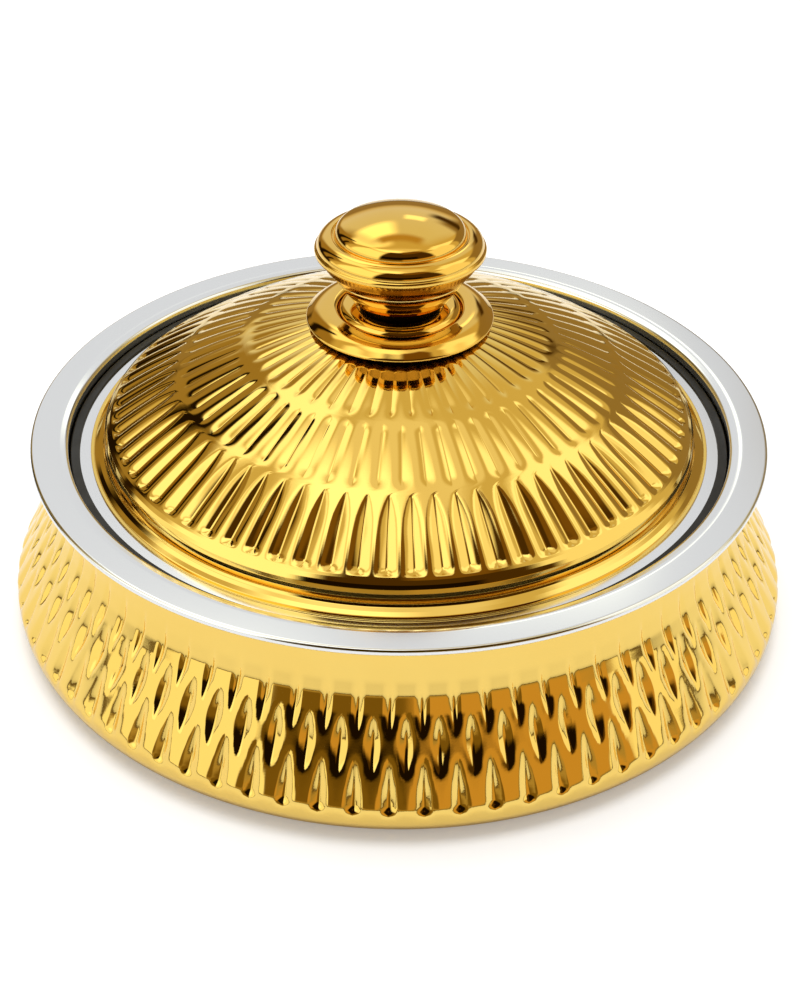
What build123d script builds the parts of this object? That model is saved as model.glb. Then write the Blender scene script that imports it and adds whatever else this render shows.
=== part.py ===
"""Insulated chapati casserole: a foamed double-walled bowl with a lift-off foamed lid.

Millimetres, +Z up. The origin is the point on the table under the middle of the bowl.
Every piece except the feet is turned about the centre line, so most of this file is profiles:
lists of (radius, height, corner rounding). A sheet metal route is written in the direction that
keeps the metal on its left and the seen face on the line itself.
"""

import os
from math import atan2, degrees, hypot, sqrt

from build123d import *

# ---- rim and bowl ----
rim_height = 66.5  # table to the top of the rolled edge
flange_radius = 125.0  # outside of the rolled edge
flange_width = 12.5  # rolled edge to the mouth
flange_dip_depth = 1.2  # how much lower the flange is at the mouth than at its edge
mouth_lip = 1.8  # rounding from flange to mouth
ledge_depth = 9.0  # rim to the ledge that carries the lid
ledge_width = 5.5  # mouth to the bowl's wall
ledge_corner = 1.2
bowl_depth = 52.5  # rim to bowl floor
bowl_taper_width = 4.0  # how far the wall leans in from ledge to floor
bowl_corner = 12.0
bowl_wall = 0.7

# ---- casing ----
shell_wall = 0.6
neck_inset = 9.0  # rolled edge to the neck
neck_drop = 18.5  # rim to the height where neck and flare would meet in a corner
neck_bend = 40.0
belly_overhang = 10.9  # how far the belly stands out past the rolled edge
belly_bend = 6.0
belly_land = 3.1  # top of the foot's bend to the height where flare and belly would meet
foot_bend = 8.0
foot_height = 1.5  # casing to table
foot_return = 12.0  # width of the casing's turned-in bottom edge
hem_grip = 3.8  # how far the flange's edge is rolled back under the casing
hem_gap = 0.15
emboss_room = 1.5  # space kept behind the pressed dents and flutes
foam_gap = 0.3

# ---- base ----
plate_wall = 0.6
plate_gap = 0.8  # plate edge to the start of the casing's foot bend
foot_pad_radius = 8.0
foot_pad_inset = 5.8  # pad to the casing's turned-in edge
foot_pad_count = 4
foot_pad_edge = 0.8
plug_hole_radius = 6.0
plug_fit = 0.1
plug_head_radius = 9.0
plug_head = 1.2
plug_length = 3.5

# ---- lid ----
lid_sink = 5.6  # rim to the silver ring
liner_wall = 0.6
liner_plug_gap = 3.0  # bowl's wall to the part of the liner that hangs into it
liner_plug_depth = 10.9  # silver ring to the lowest edge of the liner
liner_rise = 2.0  # the liner's middle above its lowest edge
liner_corner = 4.0
gasket_gap = 0.3  # gasket to mouth, and to the edge of the silver ring
gasket_wall = 1.6  # rubber outside the silver ring
gasket_grip = 1.3  # how far the gasket's lip reaches over the silver ring
gasket_lip = 0.6
gasket_overhang = 0.5  # gasket past the inner edge of the ledge
gasket_fit = 0.05
seat_gap = 0.1  # gasket to ledge
lid_wall = 0.6
silver_ring_width = 5.0  # edge of the silver ring to the gold edge
gold_ring_width = 4.7  # gold edge to the skirt
gold_ring_height = 1.8
lid_edge_flat = 1.4
skirt_height = 5.3
skirt_round = 6.0  # rounding from skirt to crown
crown_curve = 200.0
crown_rise = 35.2  # top of the skirt to the seat of the knob

# ---- knob ----
screw_radius = 3.0
screw_clearance = 0.25
thread_gap = 0.05
lip = 0.8  # rounding of the cap's lip
collar_radius = 31.0
collar_undercut = 5.0  # collar's lip to the edge of its base
collar_height = 4.3
collar_lip = 1.0
collar_slope_width = 4.1  # collar's lip to its flat top
collar_slope_round = 2.5
collar_ridge_inset = 9.0  # collar's lip to the edge of its hollow
collar_ridge_round = 1.4
seat_margin = 1.0  # flat of the dome outside the collar's base
seat_washer = 0.6
seat_washer_inset = 0.6  # washer's edge to the edge of the collar's base
bead_gap = 0.4  # bead to the inside of the collar
bead_height = 5.1  # seat of the collar to the top of the bead
bead_round = 2.9
stem_neck_radius = 13.2
stem_neck = 2.9  # height of the narrow foot, which leaves a groove over the bead
stem_cone_radius = 16.3
stem_cone = 3.4  # foot of the stem to the lower edge of its cone
stem_top_radius = 21.8
stem_height = 12.1
stem_lip = 0.6
cap_radius = 27.8
cap_skirt = 7.8  # top of the stem to the middle of the cap's lip
cap_base_knee = 3.4  # top of the stem to the height where the plate under the cap turns steeper
cap_base_knee_inset = 2.9  # cap's lip to that knee
cap_shoulder_width = 5.6  # cap's lip to the groove
cap_shoulder = 5.0  # middle of the lip to the top of the shoulder
cap_groove_width = 1.0
cap_groove = 0.6
cap_crown = 7.6
cap_crown_edge = 4.2  # rounding at the foot of the crown
cap_wall = 0.8
boss_radius = 6.5
boss_height = 9.0
backing_radius = 16.0
backing_wall = 1.5
spring_washer_radius = 5.5
spring_washer_wall = 1.2
screw_head_radius = 5.8
screw_head = 3.4
screw_socket_radius = 1.6
screw_grip = 6.5  # thread inside the boss

# ---- worked out ----
mouth_radius = flange_radius - flange_width
ledge_radius = mouth_radius - ledge_width
bowl_floor_radius = ledge_radius - bowl_taper_width
neck_radius = flange_radius - neck_inset
neck_height = rim_height - neck_drop
belly_radius = flange_radius + belly_overhang
belly_height = foot_height + foot_bend + belly_land
mouth_top = rim_height - flange_dip_depth
ledge_height = rim_height - ledge_depth
bowl_floor = rim_height - bowl_depth
hem_height = 2 * bowl_wall + shell_wall + 2 * hem_gap
plate_top = foot_height + shell_wall + plate_wall
ring_height = rim_height - lid_sink
gasket_radius = mouth_radius - gasket_gap
liner_flange_radius = gasket_radius - gasket_wall - gasket_gap
lid_edge_radius = liner_flange_radius - silver_ring_width
skirt_radius = lid_edge_radius - gold_ring_width
skirt_foot = ring_height + lid_wall + gold_ring_height
skirt_top = skirt_foot + skirt_height
collar_base_radius = collar_radius - collar_undercut
seat_radius = collar_base_radius + seat_margin
seat_height = skirt_top + crown_rise
collar_seat = seat_height + seat_washer
bead_top = collar_seat + bead_height
stem_top = bead_top + stem_height
cap_lip = stem_top + cap_skirt
cap_shoulder_top = cap_lip + cap_shoulder
cap_crown_foot = cap_shoulder_top - cap_groove / 2
bore_radius = screw_radius + screw_clearance


def flange_height(radius):
    """Height of the flange's top face, which falls evenly from the rolled edge to the mouth."""
    return rim_height - flange_dip_depth * (flange_radius - radius) / (flange_radius - mouth_radius)


def crown_centre():
    """Centre of the crown's arc, which runs from the top of the skirt to the knob's seat."""
    across, up = seat_radius - skirt_radius, crown_rise
    half = hypot(across, up) / 2
    back = sqrt(crown_curve**2 - half**2) / (2 * half)
    return (
        (seat_radius + skirt_radius) / 2 - up * back,
        (seat_height + skirt_top) / 2 + across * back,
    )


def crown_height(radius, depth):
    """Height of the crown's surface, or of the arc that lies depth inside it."""
    centre_r, centre_z = crown_centre()
    return centre_z + sqrt((crown_curve - depth) ** 2 - (radius - centre_r) ** 2)


def crown_radius(height, depth):
    """Radius at which the arc that lies depth inside the crown reaches a height."""
    centre_r, centre_z = crown_centre()
    return centre_r + sqrt((crown_curve - depth) ** 2 - (height - centre_z) ** 2)


def shifted(route, distance):
    """The route moved to its left. Straight runs stay parallel and rounded corners keep their centres."""
    runs = []
    for (r0, z0, _), (r1, z1, _) in zip(route, route[1:]):
        length = hypot(r1 - r0, z1 - z0)
        along = ((r1 - r0) / length, (z1 - z0) / length)
        runs.append((r0 - along[1] * distance, z0 + along[0] * distance, *along))
    moved = [(runs[0][0], runs[0][1], 0)]
    for corner, before, after in zip(route[1:-1], runs, runs[1:]):
        turn = before[2] * after[3] - before[3] * after[2]
        step = ((after[0] - before[0]) * after[3] - (after[1] - before[1]) * after[2]) / turn
        rounding = corner[2] - distance if turn > 0 else corner[2] + distance
        moved.append((before[0] + before[2] * step, before[1] + before[3] * step, max(rounding, 0)))
    end_r, end_z, _ = route[-1]
    moved.append((end_r - runs[-1][3] * distance, end_z + runs[-1][2] * distance, 0))
    return moved


def sheet(route, wall):
    """Corners of a sheet of even thickness, whose seen face is the route."""
    return route + shifted(route, wall)[::-1]


def section(corners):
    """Closed half section in the XZ plane, with each corner rounded as it says."""
    with BuildSketch(Plane.XZ) as drawn:
        with BuildLine():
            FilletPolyline(*[(r, z) for r, z, _ in corners], radius=[c for _, _, c in corners], close=True)
        make_face()
    return drawn.sketch


def rounded(corners):
    """Open line through the corners, each rounded as it says."""
    return FilletPolyline(*[(r, z) for r, z, _ in corners], radius=[c for _, _, c in corners[1:-1]])


def ring(inner, outer, bottom, top, edge=0):
    """Corners of a plain flat ring or disc."""
    return [(inner, bottom, 0), (outer, bottom, edge), (outer, top, edge), (inner, top, 0)]


os.makedirs("parts", exist_ok=True)
pieces = {}

# ---- body ----
bowl_route = [
    (flange_radius - hem_grip, flange_height(flange_radius - hem_grip) - hem_height, 0),
    (flange_radius, rim_height - hem_height, 0.44 * hem_height),
    (flange_radius, rim_height, 0.44 * hem_height),
    (mouth_radius, mouth_top, mouth_lip),
    (mouth_radius, ledge_height, ledge_corner),
    (ledge_radius, ledge_height, ledge_corner),
    (bowl_floor_radius, bowl_floor, bowl_corner),
    (0, bowl_floor, 0),
]
with BuildPart() as inner_bowl:
    revolve(section(sheet(bowl_route, bowl_wall)))
pieces["inner_bowl"] = inner_bowl

shell_drop = bowl_wall + hem_gap + shell_wall  # flange top to the underside of the casing's turned-out edge
shell_edge_radius = flange_radius - bowl_wall - 3 * hem_gap
shell_route = [
    (belly_radius - foot_return, foot_height, 0),
    (belly_radius, foot_height, foot_bend),
    (belly_radius, belly_height, belly_bend),
    (neck_radius, neck_height, neck_bend),
    (neck_radius, flange_height(neck_radius) - shell_drop, shell_wall),
    (shell_edge_radius, flange_height(shell_edge_radius) - shell_drop, 0),
]
with BuildPart() as outer_shell:
    revolve(section(sheet(shell_route, shell_wall)))
pieces["outer_shell"] = outer_shell

behind_shell = shifted(shell_route, shell_wall + emboss_room)
behind_bowl = shifted(bowl_route, bowl_wall + foam_gap)
foam_top = ledge_height - 2 * (bowl_wall + ledge_corner)
foam_corners = [
    (0, plate_top, 0),
    (behind_shell[1][0], plate_top, behind_shell[1][2]),
    behind_shell[2],
    behind_shell[3],
    (behind_shell[4][0], mouth_top, 0),
    (0, mouth_top, 0),
]
bowl_space = [
    (0, behind_bowl[7][1], 0),
    behind_bowl[6],
    (*behind_bowl[5][:2], 0),
    (behind_bowl[5][0], mouth_top, 0),
    (0, mouth_top, 0),
]
with BuildPart() as body_insulation:
    revolve(section(foam_corners))
    split(bisect_by=Plane.XY.offset(foam_top), keep=Keep.BOTTOM)
    revolve(section(bowl_space), mode=Mode.SUBTRACT)
    with Locations((0, 0, plate_top)):
        Cylinder(
            plug_hole_radius + foam_gap,
            plug_length + foam_gap,
            align=(Align.CENTER, Align.CENTER, Align.MIN),
            mode=Mode.SUBTRACT,
        )
pieces["body_insulation"] = body_insulation

plate_radius = belly_radius - foot_bend - plate_gap
foot_pad_distance = belly_radius - foot_return - foot_pad_inset - foot_pad_radius
with BuildPart() as base_plate:
    revolve(section(ring(plug_hole_radius, plate_radius, foot_height + shell_wall, plate_top)))
pieces["base_plate"] = base_plate

plug_seat = foot_height + shell_wall
plug_corners = [
    (0, plug_seat - plug_head, 0),
    (plug_head_radius, plug_seat - plug_head, plug_head / 2),
    (plug_head_radius, plug_seat, 0),
    (plug_hole_radius - plug_fit, plug_seat, 0),
    (plug_hole_radius - plug_fit, plug_seat + plug_length, plug_head / 2),
    (0, plug_seat + plug_length, 0),
]
with BuildPart() as base_plug:
    revolve(section(plug_corners))
pieces["base_plug"] = base_plug

with BuildPart() as base_feet:
    with PolarLocations(foot_pad_distance, foot_pad_count):
        Cylinder(foot_pad_radius, plug_seat, align=(Align.CENTER, Align.CENTER, Align.MIN))
    fillet(base_feet.faces().group_by(Axis.Z)[0].edges(), foot_pad_edge)
pieces["base_feet"] = base_feet

# ---- lid ----
liner_bottom = ring_height - liner_plug_depth
liner_plug_radius = ledge_radius - liner_plug_gap
liner_route = [
    (plug_hole_radius, liner_bottom + liner_rise, 0),
    (liner_plug_radius, liner_bottom, liner_corner),
    (liner_plug_radius, ring_height - liner_wall, liner_wall),
    (liner_flange_radius, ring_height - liner_wall, 0),
]
with BuildPart() as lid_liner:
    revolve(section(sheet(liner_route, liner_wall)))
pieces["lid_liner"] = lid_liner

slot_bottom = ring_height - liner_wall - gasket_fit
slot_top = ring_height + gasket_fit
slot_radius = liner_flange_radius + gasket_gap
gasket_inner_radius = ledge_radius - gasket_overhang
gasket_lip_radius = liner_flange_radius - gasket_grip
gasket_corners = [
    (gasket_inner_radius, ledge_height + seat_gap, 0),
    (gasket_radius, ledge_height + seat_gap, ledge_corner + gasket_gap),
    (gasket_radius, slot_top + gasket_lip, gasket_lip),
    (gasket_lip_radius, slot_top + gasket_lip, 0),
    (gasket_lip_radius, slot_top, 0),
    (slot_radius, slot_top, 0),
    (slot_radius, slot_bottom, 0),
    (gasket_inner_radius, slot_bottom, 0),
]
with BuildPart() as lid_gasket:
    revolve(section(gasket_corners))
pieces["lid_gasket"] = lid_gasket

edge_top = ring_height + lid_wall
ring_route = [
    (lid_edge_radius, edge_top, 0),
    (lid_edge_radius - lid_edge_flat, edge_top, lid_wall),
    (skirt_radius, skirt_foot, lid_wall),
    (skirt_radius, skirt_top, 0),
]
ring_inside = shifted(ring_route, lid_wall)
seat_inside = seat_height - lid_wall


def under_crown(depth, wall_radius):
    """Ends of the arc that lies depth inside the crown: at a wall's radius, and under the knob's seat."""
    top = seat_height - depth
    return (wall_radius, crown_height(wall_radius, depth)), (crown_radius(top, depth), top)


with BuildPart() as lid_shell:
    with BuildSketch(Plane.XZ) as lid_profile:
        with BuildLine():
            inner_start, inner_end = under_crown(lid_wall, skirt_radius - lid_wall)
            rounded(ring_route)
            RadiusArc((skirt_radius, skirt_top), (seat_radius, seat_height), -crown_curve)
            Polyline(
                (seat_radius, seat_height),
                (bore_radius, seat_height),
                (bore_radius, seat_inside),
                inner_end,
            )
            RadiusArc(inner_start, inner_end, -(crown_curve - lid_wall))
            rounded([(*inner_start, 0)] + ring_inside[-2::-1])
            Line(ring_inside[0][:2], ring_route[0][:2])
        make_face()
        fillet(lid_profile.vertices().sort_by_distance((skirt_radius, skirt_top))[0], skirt_round)
        fillet(lid_profile.vertices().sort_by_distance(inner_start)[0], skirt_round - lid_wall)
    revolve()
pieces["lid_shell"] = lid_shell

lid_foam_depth = lid_wall + emboss_room
backing_top = seat_inside
backing_bottom = backing_top - backing_wall
spring_bottom = backing_bottom - spring_washer_wall
head_bottom = spring_bottom - screw_head
behind_liner = shifted(liner_route, liner_wall + foam_gap)
foam_wall, foam_seat = under_crown(lid_foam_depth, skirt_radius - lid_foam_depth)
lid_foam_corners = [
    (*foam_wall, 0),
    (foam_wall[0], ring_height, 0),
    (behind_liner[1][0], ring_height, 0),
    behind_liner[1],
    behind_liner[0],
    (behind_liner[0][0], head_bottom - foam_gap, 0),
    (screw_head_radius + foam_gap, head_bottom - foam_gap, 0),
    (screw_head_radius + foam_gap, backing_bottom - foam_gap, 0),
    (backing_radius + foam_gap, backing_bottom - foam_gap, 0),
    (backing_radius + foam_gap, foam_seat[1], 0),
    (*foam_seat, 0),
]
with BuildPart() as lid_insulation:
    with BuildSketch(Plane.XZ):
        with BuildLine():
            rounded(lid_foam_corners)
            RadiusArc(foam_wall, foam_seat, -(crown_curve - lid_foam_depth))
        make_face()
    revolve()
pieces["lid_insulation"] = lid_insulation

lid_plug_seat = liner_bottom + liner_rise
lid_plug_corners = [
    (0, lid_plug_seat - plug_head, 0),
    (plug_head_radius, lid_plug_seat - plug_head, plug_head / 2),
    (plug_head_radius, lid_plug_seat - gasket_gap, 0),
    (plug_hole_radius - plug_fit, lid_plug_seat - gasket_gap, 0),
    (plug_hole_radius - plug_fit, lid_plug_seat + plug_length, plug_head / 2),
    (0, lid_plug_seat + plug_length, 0),
]
with BuildPart() as lid_plug:
    revolve(section(lid_plug_corners))
pieces["lid_plug"] = lid_plug

# ---- knob ----
with BuildPart() as knob_seat_washer:
    revolve(section(ring(bore_radius, collar_base_radius - seat_washer_inset, seat_height, collar_seat)))
pieces["knob_seat_washer"] = knob_seat_washer

collar_lip_top = collar_seat + collar_lip
collar_top = collar_seat + collar_height
collar_ridge_radius = collar_radius - collar_ridge_inset
collar_bore_radius = collar_ridge_radius - collar_ridge_round
ridge_centre = (collar_ridge_radius, collar_top - collar_ridge_round)
with BuildPart() as knob_collar:
    with BuildSketch(Plane.XZ):
        with BuildLine():
            FilletPolyline(
                (bore_radius, collar_seat),
                (collar_base_radius, collar_seat),
                (collar_radius, collar_seat + collar_lip / 3),
                (collar_radius, collar_lip_top),
                (collar_radius - collar_slope_width, collar_top),
                (collar_ridge_radius, collar_top),
                radius=[0, collar_lip / 4, collar_lip / 2, collar_slope_round],
            )
            CenterArc(ridge_centre, collar_ridge_round, 90, 90)
            Polyline(
                (collar_bore_radius, ridge_centre[1]),
                (collar_bore_radius, collar_lip_top),
                (bore_radius, collar_lip_top),
                (bore_radius, collar_seat),
            )
        make_face()
    revolve()
pieces["knob_collar"] = knob_collar

bead_radius = collar_bore_radius - bead_gap
bead_corners = [
    (bore_radius, collar_lip_top, 0),
    (bead_radius, collar_lip_top, 0),
    (bead_radius, bead_top, bead_round),
    (bore_radius, bead_top, 0),
]
with BuildPart() as knob_bead:
    revolve(section(bead_corners))
pieces["knob_bead"] = knob_bead

stem_corners = [
    (bore_radius, bead_top, 0),
    (stem_neck_radius, bead_top, 0),
    (stem_neck_radius, bead_top + stem_neck, 0),
    (stem_cone_radius, bead_top + stem_cone, stem_lip / 2),
    (stem_top_radius, stem_top - stem_lip, stem_lip / 2),
    (stem_top_radius, stem_top, 0),
    (bore_radius, stem_top, 0),
]
with BuildPart() as knob_stem:
    revolve(section(stem_corners))
pieces["knob_stem"] = knob_stem

cap_shoulder_radius = cap_radius - cap_shoulder_width
cap_crown_radius = cap_shoulder_radius - cap_groove_width
cap_band_radius = cap_radius - lip
cap_inner_radius = cap_band_radius - cap_wall
cap_band = cap_lip + 1.5 * lip
cap_base_route = [
    (bore_radius, stem_top, 0),
    (stem_top_radius + lip / 2, stem_top, 0),
    (cap_radius - cap_base_knee_inset, stem_top + cap_base_knee, 0),
    (cap_inner_radius, cap_lip - 2 * lip, 0),
]
with BuildPart() as knob_cap_base:
    revolve(section(sheet(cap_base_route, cap_wall)))
pieces["knob_cap_base"] = knob_cap_base

crown_edge_radius = cap_crown_radius - cap_crown_edge
crown_rise_past_edge = cap_crown - cap_crown_edge
cap_crown_curve = (crown_edge_radius**2 / crown_rise_past_edge + cap_crown + cap_crown_edge) / 2
crown_turn = degrees(atan2(cap_crown_curve - cap_crown, crown_edge_radius))
with BuildPart() as knob_cap:
    with BuildSketch(Plane.XZ):
        with BuildLine():
            FilletPolyline(
                (cap_inner_radius, cap_lip - 2 * lip),
                (cap_radius, cap_lip - lip),
                (cap_radius, cap_lip + lip),
                (cap_band_radius, cap_band),
                radius=[lip, lip],
            )
            for inset in (0, cap_wall):
                EllipticalCenterArc(
                    (cap_shoulder_radius, cap_band),
                    cap_band_radius - cap_shoulder_radius - inset,
                    cap_shoulder_top - cap_band - inset,
                    arc_size=90,
                )
                CenterArc((crown_edge_radius, cap_crown_foot), cap_crown_edge - inset, 0, crown_turn)
                CenterArc(
                    (0, cap_crown_foot + cap_crown - cap_crown_curve),
                    cap_crown_curve - inset,
                    crown_turn,
                    90 - crown_turn,
                )
                Polyline(
                    (cap_shoulder_radius, cap_shoulder_top - inset),
                    (cap_shoulder_radius - inset, cap_shoulder_top - cap_groove - inset),
                    (cap_crown_radius - inset, cap_shoulder_top - cap_groove - inset),
                    (cap_crown_radius - inset, cap_crown_foot),
                )
            Line((0, cap_crown_foot + cap_crown), (0, cap_crown_foot + cap_crown - cap_wall))
            Line((cap_inner_radius, cap_band), (cap_inner_radius, cap_lip - 2 * lip))
        make_face()
    revolve()
pieces["knob_cap"] = knob_cap

boss_foot = stem_top + cap_wall
with BuildPart() as knob_boss:
    revolve(section(ring(screw_radius + thread_gap, boss_radius, boss_foot, boss_foot + boss_height)))
pieces["knob_boss"] = knob_boss

with BuildPart() as knob_backing_washer:
    revolve(section(ring(bore_radius, backing_radius, backing_bottom, backing_top)))
pieces["knob_backing_washer"] = knob_backing_washer

with BuildPart() as knob_spring_washer:
    revolve(section(ring(bore_radius, spring_washer_radius, spring_bottom, backing_bottom)))
pieces["knob_spring_washer"] = knob_spring_washer

screw_corners = [
    (0, head_bottom, 0),
    (screw_head_radius, head_bottom, screw_head / 3),
    (screw_head_radius, spring_bottom, 0),
    (screw_radius, spring_bottom, 0),
    (screw_radius, boss_foot + screw_grip, lip),
    (0, boss_foot + screw_grip, 0),
]
with BuildPart() as knob_screw:
    revolve(section(screw_corners))
    with BuildSketch(Plane.XY.offset(head_bottom)):
        RegularPolygon(screw_socket_radius, 6)
    extrude(amount=screw_head / 2, mode=Mode.SUBTRACT)
pieces["knob_screw"] = knob_screw

for name, piece in pieces.items():
    piece.part.label = name
    export_step(piece.part, f"parts/{name}.step")
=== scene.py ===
"""Looks of an insulated chapati casserole: gold coated casing and dome with pressed dents and flutes.

The solids come from the frame, in metres with +Z up. What shows is turned again here with finer
surfaces: each piece is a profile of radius and height, carried round the centre line as whole
arrays, and pressed in by the dent and flute formulas where the real sheet is.
"""

from math import cos, pi, radians, sin, sqrt, tan

import bmesh
import bpy
import numpy as np
from bpy.props import FloatProperty, IntProperty, PointerProperty
from mathutils import Matrix, Vector


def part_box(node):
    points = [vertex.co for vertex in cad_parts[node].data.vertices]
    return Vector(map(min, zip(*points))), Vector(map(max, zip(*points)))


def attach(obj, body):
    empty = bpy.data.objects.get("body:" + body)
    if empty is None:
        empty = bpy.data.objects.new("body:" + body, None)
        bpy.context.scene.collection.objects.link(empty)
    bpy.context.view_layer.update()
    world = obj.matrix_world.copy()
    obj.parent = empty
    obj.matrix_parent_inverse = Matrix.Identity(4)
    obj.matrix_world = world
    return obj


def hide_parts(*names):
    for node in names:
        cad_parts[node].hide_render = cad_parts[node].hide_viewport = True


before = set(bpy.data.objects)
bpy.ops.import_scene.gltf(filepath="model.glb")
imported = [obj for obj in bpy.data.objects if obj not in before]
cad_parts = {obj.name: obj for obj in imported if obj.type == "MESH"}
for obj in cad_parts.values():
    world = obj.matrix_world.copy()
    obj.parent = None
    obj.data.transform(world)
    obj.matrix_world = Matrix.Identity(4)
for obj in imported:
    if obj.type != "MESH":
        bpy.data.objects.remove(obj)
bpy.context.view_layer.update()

bl_info = {
    "name": "Insulated chapati casserole",
    "version": (1, 0, 0),
    "blender": (4, 5, 0),
    "location": "View3D > Sidebar > Casserole",
    "description": "Turns the casserole's pieces, presses its dents and flutes and sets its stage",
    "category": "Object",
}

MM = 0.001


# ---------------------------------------------------------------- sizes read from the frame


def outer_radius(node):
    """Largest radius of a turned node, in millimetres."""
    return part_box(node)[1].x / MM


def bottom(node):
    """Lowest height of a node, in millimetres."""
    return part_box(node)[0].z / MM


def top(node):
    """Highest height of a node, in millimetres."""
    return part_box(node)[1].z / MM


# ---------------------------------------------------------------- colours and nodes


def linear(hex_colour):
    """sRGB hex such as "#f4cf74" as linear RGBA: each channel follows the sRGB curve."""
    parts = [int(hex_colour[i : i + 2], 16) / 255 for i in (1, 3, 5)]
    return (*[p / 12.92 if p <= 0.04045 else ((p + 0.055) / 1.055) ** 2.4 for p in parts], 1.0)


def add_node(tree, kind, settings=None, **inputs):
    """Adds a node with its settings. An input is a socket's name, or i and its number, and takes
    a value or the output socket of another node."""
    node = tree.nodes.new(kind)
    for name, value in (settings or {}).items():
        setattr(node, name, value)
    for name, value in inputs.items():
        socket = node.inputs[int(name[1:]) if name[1:].isdigit() else name.replace("_", " ")]
        if isinstance(value, bpy.types.NodeSocket):
            tree.links.new(value, socket)
        else:
            socket.default_value = value
    return node


def new_material(name):
    """A node material with an empty tree."""
    material = bpy.data.materials.new(name)
    material.use_nodes = True
    material.node_tree.nodes.clear()
    return material, material.node_tree


def noise(tree, point, size_mm, detail=2.0):
    """Noise whose blotches are about size_mm across."""
    node = add_node(tree, "ShaderNodeTexNoise", Vector=point, Scale=1 / (size_mm * MM), Detail=detail)
    return node.outputs["Fac"]


def ranged(tree, value, low, high):
    """A noise value spread from low to high."""
    node = add_node(tree, "ShaderNodeMapRange", Value=value, i1=0.35, i2=0.65, i3=low, i4=high)
    return node.outputs["Result"]


def mixed(tree, factor, first, second):
    """Colour between two colours. Each is a hex colour or an output socket."""
    first, second = (linear(colour) if isinstance(colour, str) else colour for colour in (first, second))
    node = add_node(tree, "ShaderNodeMix", {"data_type": "RGBA"}, i0=factor, i6=first, i7=second)
    return node.outputs[2]


def surface(name, colours, metallic, roughness, cloud_mm, grain_mm, grain, dull_and_shaded=None):
    """Material with a base colour that drifts between two colours, a gloss that drifts between two
    roughnesses over clouds of cloud_mm, and a grain of grain_mm that is grain deep. The last argument
    is a height in millimetres, and the colour and roughness below it: a dull finish whose dark colour
    is painted shade."""
    _, tree = new_material(name)
    point = add_node(tree, "ShaderNodeTexCoord").outputs["Object"]
    cloud = noise(tree, point, cloud_mm, 3.0)
    height = noise(tree, point, grain_mm)
    bump = add_node(tree, "ShaderNodeBump", Height=height, Strength=grain, Distance=grain_mm * MM)
    colour, gloss = mixed(tree, cloud, *colours), ranged(tree, cloud, *roughness)
    # Below the height the colour turns dark as painted shade, and the roughness turns dull.
    if dull_and_shaded:
        edge, painted_shade_colour, dull_gloss = dull_and_shaded
        up = add_node(tree, "ShaderNodeSeparateXYZ", Vector=point).outputs["Z"]
        low = edge * MM
        step = add_node(tree, "ShaderNodeMapRange", Value=up, i1=low, i2=low + 0.2 * MM, i3=0.0, i4=1.0)
        share = step.outputs["Result"]
        colour = mixed(tree, share, painted_shade_colour, colour)
        gloss = add_node(tree, "ShaderNodeMix", i0=share, i2=dull_gloss, i3=gloss).outputs[0]
    node = add_node(
        tree,
        "ShaderNodeBsdfPrincipled",
        Base_Color=colour,
        Metallic=metallic,
        Roughness=gloss,
        Normal=bump.outputs["Normal"],
    )
    add_node(tree, "ShaderNodeOutputMaterial", Surface=node.outputs["BSDF"])


def make_materials():
    """Every finish of the object."""
    mirror = (0.03, 0.05)
    deep_gold = ("#f2c762", "#ecbe55")
    # Titanium nitride on mirror-polished steel, vapour coated: clear yellow gold, mirror gloss.
    surface("gold_coated_steel", ("#f4d272", "#f0ca68"), 1.0, mirror, 30, 0.6, 0.004)
    # The same coating on a spun knob, laid on thicker: a deeper gold.
    surface("gold_coated_knob", deep_gold, 1.0, mirror, 20, 0.6, 0.003)
    # The collar, spun and coated as the knob: deep gold above; its underside is dull, and painted dark as
    # shade that falls under the collar.
    shaded_underside = (top("knob_seat_washer") + 0.2, "#33230b", 0.5)
    surface("gold_collar_shaded_underside", deep_gold, 1.0, mirror, 20, 0.6, 0.003, shaded_underside)
    # The plate under the cap, pressed and coated: a softer gold, painted darker as shade under the cap.
    surface("gold_plate_painted_shade", ("#c99c4c", "#bf9143"), 1.0, (0.08, 0.12), 20, 0.6, 0.006)
    # The neck, turned and coated: paler gold above; dull at its root, and painted nearly black there as
    # shade where it meets the bead.
    shaded_root = (top("knob_bead") + 2.2, "#1d1305", 0.5)
    surface("gold_neck_shaded_root", ("#f0d282", "#ebc974"), 1.0, mirror, 20, 0.6, 0.003, shaded_root)
    # Stainless steel, buffed: neutral grey mirror that is a little soft.
    surface("polished_steel", ("#dedfe0", "#d9dadc"), 1.0, (0.03, 0.06), 25, 0.5, 0.006)
    # Stainless sheet as it left the rolls: dull and slightly cloudy.
    surface("rolled_steel", ("#bdbdbc", "#adadac"), 1.0, (0.34, 0.46), 12, 0.8, 0.05)
    # Zinc plated steel: bluish grey with a fine crystalline dullness.
    surface("zinc_plate", ("#b7bcc2", "#a5abb2"), 1.0, (0.28, 0.4), 4, 0.4, 0.06)
    # Rigid polyurethane foam: pale yellow, cellular, quite matt.
    surface("rigid_foam", ("#efe0b4", "#e2d09c"), 0.0, (0.85, 0.95), 10, 0.8, 0.6)
    # Moulded silicone: black with a satin gloss.
    surface("moulded_silicone", ("#050505", "#080808"), 0.0, (0.4, 0.5), 8, 0.5, 0.05)
    # Moulded rubber: off-black and matt, with the texture of the mould.
    surface("moulded_rubber", ("#17171a", "#1f1f21"), 0.0, (0.6, 0.75), 6, 0.5, 0.2)
    # Injection moulded polypropylene: black, low sheen.
    surface("moulded_plastic", ("#121214", "#18181a"), 0.0, (0.4, 0.5), 6, 0.3, 0.08)
    # Natural nylon: milky off-white.
    surface("natural_nylon", ("#e4e1d4", "#dcd8c9"), 0.0, (0.45, 0.55), 5, 0.3, 0.05)


# ---------------------------------------------------------------- surfaces


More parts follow.
